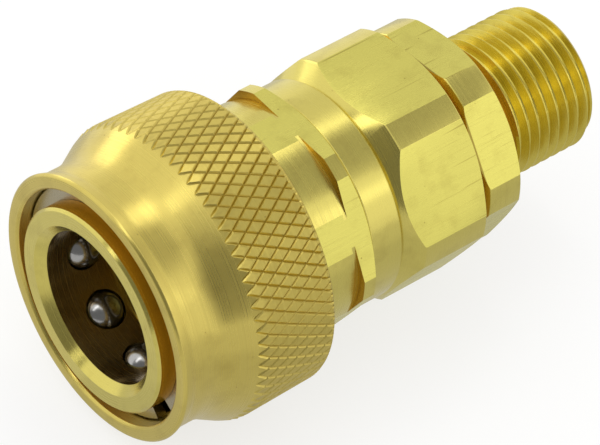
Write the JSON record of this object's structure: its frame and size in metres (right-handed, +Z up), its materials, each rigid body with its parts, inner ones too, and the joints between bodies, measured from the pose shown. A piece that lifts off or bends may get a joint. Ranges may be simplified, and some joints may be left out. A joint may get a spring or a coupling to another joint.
{
  "type": "ball-lock coupling socket",
  "caption": "Brass quick coupling socket: knurled pull-back sleeve over locking balls, spring poppet valve, wrench hexagons and a male pipe thread.",
  "frame": {"origin": "centre of the mouth, on the nose's front face", "axes": "+X along the axis from the mouth to the male thread, +Z up out of a flat of the larger hexagon, +Y across"},
  "size_m": [0.0639, 0.0348, 0.0348],
  "materials": {
    "turned_brass": "bright turned brass, bare",
    "polished_steel": "polished hardened steel",
    "spring_steel": "grey spring steel",
    "black_rubber": "moulded nitrile rubber",
    "white_plastic": "matt white fluoropolymer",
    "soft_copper": "annealed copper"
  },
  "bodies": {
    "body": {"socket_body": "turned_brass", "valve_body": "turned_brass", "male_adapter": "turned_brass", "plug_seal": "black_rubber", "backup_ring": "white_plastic", "poppet_guide": "turned_brass", "poppet_spring": "spring_steel", "sleeve_spring": "spring_steel", "body_seal": "black_rubber", "adapter_seal": "soft_copper"},
    "ring": {"retaining_ring": "spring_steel"},
    "sleeve": {"release_sleeve": "turned_brass"},
    "poppet": {"valve_poppet": "turned_brass", "poppet_seal": "black_rubber"},
    "ball_1": {"locking_ball_1": "polished_steel"},
    "ball_2": {"locking_ball_2": "polished_steel"},
    "ball_3": {"locking_ball_3": "polished_steel"},
    "ball_4": {"locking_ball_4": "polished_steel"},
    "ball_5": {"locking_ball_5": "polished_steel"},
    "ball_6": {"locking_ball_6": "polished_steel"},
    "ball_7": {"locking_ball_7": "polished_steel"},
    "ball_8": {"locking_ball_8": "polished_steel"}
  },
  "joints": [
    {"name": "sleeve_turn", "type": "hinge", "parent": "body", "child": "ring", "pos_m": [0, 0, 0], "axis": [1, 0, 0], "continuous": true},
    {"name": "sleeve_slide", "type": "slide", "parent": "ring", "child": "sleeve", "axis": [1, 0, 0], "range_m": [0, 0.0045], "stiffness_N_per_m": 3000, "springref_m": -0.005, "deforming": ["sleeve_spring"]},
    {"name": "poppet_slide", "type": "slide", "parent": "body", "child": "poppet", "axis": [1, 0, 0], "range_m": [0, 0.0045], "stiffness_N_per_m": 1000, "springref_m": -0.004, "deforming": ["poppet_spring"]},
    {"name": "ball_1_slide", "type": "slide", "parent": "body", "child": "ball_1", "axis": [0, 0.8434, 0.5373], "range_m": [0, 0.00105]},
    {"name": "ball_2_slide", "type": "slide", "parent": "body", "child": "ball_2", "axis": [0, 0.2164, 0.9763], "range_m": [0, 0.00105]},
    {"name": "ball_3_slide", "type": "slide", "parent": "body", "child": "ball_3", "axis": [0, -0.5373, 0.8434], "range_m": [0, 0.00105]},
    {"name": "ball_4_slide", "type": "slide", "parent": "body", "child": "ball_4", "axis": [0, -0.9763, 0.2164], "range_m": [0, 0.00105]},
    {"name": "ball_5_slide", "type": "slide", "parent": "body", "child": "ball_5", "axis": [0, -0.8434, -0.5373], "range_m": [0, 0.00105]},
    {"name": "ball_6_slide", "type": "slide", "parent": "body", "child": "ball_6", "axis": [0, -0.2164, -0.9763], "range_m": [0, 0.00105]},
    {"name": "ball_7_slide", "type": "slide", "parent": "body", "child": "ball_7", "axis": [0, 0.5373, -0.8434], "range_m": [0, 0.00105]},
    {"name": "ball_8_slide", "type": "slide", "parent": "body", "child": "ball_8", "axis": [0, 0.9763, -0.2164], "range_m": [0, 0.00105]}
  ],
  "couplings": [
    {"joint": "ball_1_slide", "follows": "sleeve_slide", "ratio": 0.23333},
    {"joint": "ball_2_slide", "follows": "sleeve_slide", "ratio": 0.23333},
    {"joint": "ball_3_slide", "follows": "sleeve_slide", "ratio": 0.23333},
    {"joint": "ball_4_slide", "follows": "sleeve_slide", "ratio": 0.23333},
    {"joint": "ball_5_slide", "follows": "sleeve_slide", "ratio": 0.23333},
    {"joint": "ball_6_slide", "follows": "sleeve_slide", "ratio": 0.23333},
    {"joint": "ball_7_slide", "follows": "sleeve_slide", "ratio": 0.23333},
    {"joint": "ball_8_slide", "follows": "sleeve_slide", "ratio": 0.23333}
  ]
}
